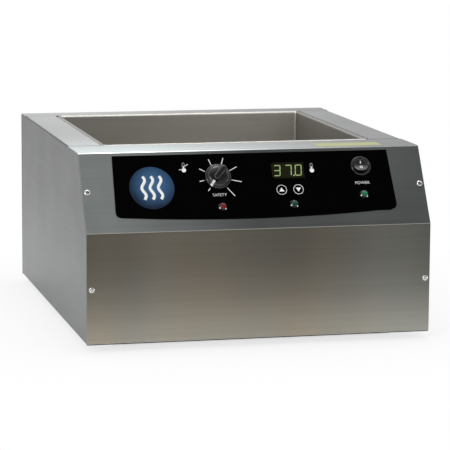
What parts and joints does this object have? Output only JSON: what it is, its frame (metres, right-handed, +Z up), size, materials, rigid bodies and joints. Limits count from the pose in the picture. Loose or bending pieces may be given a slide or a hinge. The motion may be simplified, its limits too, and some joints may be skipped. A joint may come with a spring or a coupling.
{
  "type": "bead bath",
  "caption": "Bench-top bead bath: folded stainless housing with a sloping control face round a deep open rectangular tank.",
  "frame": {"origin": "on the bench, under the middle of the housing, level with the soles of the feet", "axes": "+X to the right as seen from the front, -Y out of the front with the controls, +Z up"},
  "size_m": [0.381, 0.4512, 0.2083],
  "materials": {
    "housing_steel": "satin",
    "base_steel": "satin",
    "tank_steel": "satin",
    "screw_steel": "polished",
    "plated_steel": "satin",
    "copper_tube": "satin",
    "brass_blades": "satin",
    "foot_rubber": "matte",
    "overlay_film": "gloss",
    "window_film": "gloss",
    "knob_plastic": "gloss",
    "switch_plastic": "gloss",
    "thermostat_case": "matte",
    "red_lens": "gloss",
    "green_lens": "gloss",
    "lamp_plastic": "matte",
    "inlet_plastic": "matte",
    "board_laminate": "satin",
    "module_plastic": "matte",
    "terminal_plastic": "matte",
    "heater_rubber": "matte",
    "insulation_wool": "matte"
  },
  "bodies": {
    "housing": {"base_plate": "base_steel", "board_pillars": "plated_steel", "bulb_clip": "base_steel", "control_board": "board_laminate", "control_overlay": "overlay_film", "display_module": "module_plastic", "display_window": "window_film", "down_key_switch": "module_plastic", "front_insulation": "insulation_wool", "front_left_foot": "foot_rubber", "front_left_foot_screw": "screw_steel", "front_lower_screw_left": "screw_steel", "front_lower_screw_right": "screw_steel", "front_panel": "housing_steel", "front_right_foot": "foot_rubber", "front_right_foot_screw": "screw_steel", "front_tank_rail": "base_steel", "front_upper_screw_left": "screw_steel", "front_upper_screw_right": "screw_steel", "heater_mat": "heater_rubber", "heating_lamp_holder": "lamp_plastic", "heating_lamp_lens": "green_lens", "inlet_blades": "brass_blades", "inlet_screw_left": "screw_steel", "inlet_screw_right": "screw_steel", "left_insulation": "insulation_wool", "left_side_panel": "housing_steel", "power_inlet": "inlet_plastic", "power_lamp_holder": "lamp_plastic", "power_lamp_lens": "green_lens", "power_switch_body": "switch_plastic", "probe_clip": "base_steel", "rear_insulation": "insulation_wool", "rear_left_foot": "foot_rubber", "rear_left_foot_screw": "screw_steel", "rear_lower_screw_left": "screw_steel", "rear_lower_screw_right": "screw_steel", "rear_panel": "housing_steel", "rear_right_foot": "foot_rubber", "rear_right_foot_screw": "screw_steel", "rear_tank_rail": "base_steel", "rear_upper_screw_left": "screw_steel", "rear_upper_screw_right": "screw_steel", "relay": "module_plastic", "right_insulation": "insulation_wool", "right_side_panel": "housing_steel", "safety_lamp_holder": "lamp_plastic", "safety_lamp_lens": "red_lens", "tank": "tank_steel", "temperature_probe": "plated_steel", "terminal_block": "terminal_plastic", "thermostat_body": "thermostat_case", "thermostat_bulb": "copper_tube", "thermostat_nut": "plated_steel", "up_key_switch": "module_plastic"},
    "safety_dial": {"safety_knob": "knob_plastic", "thermostat_shaft": "plated_steel"},
    "power_rocker": {"power_rocker": "switch_plastic"}
  },
  "joints": [
    {"name": "safety_dial_turn", "type": "hinge", "parent": "housing", "child": "safety_dial", "pos_m": [-0.0412, -0.19036, 0.18007], "axis": [0, -0.8528, 0.5223], "range_deg": [-285, 0]},
    {"name": "power_rocker_tilt", "type": "hinge", "parent": "housing", "child": "power_rocker", "pos_m": [0.1207, -0.18648, 0.18813], "axis": [1, 0, 0], "range_deg": [0, 20]}
  ]
}
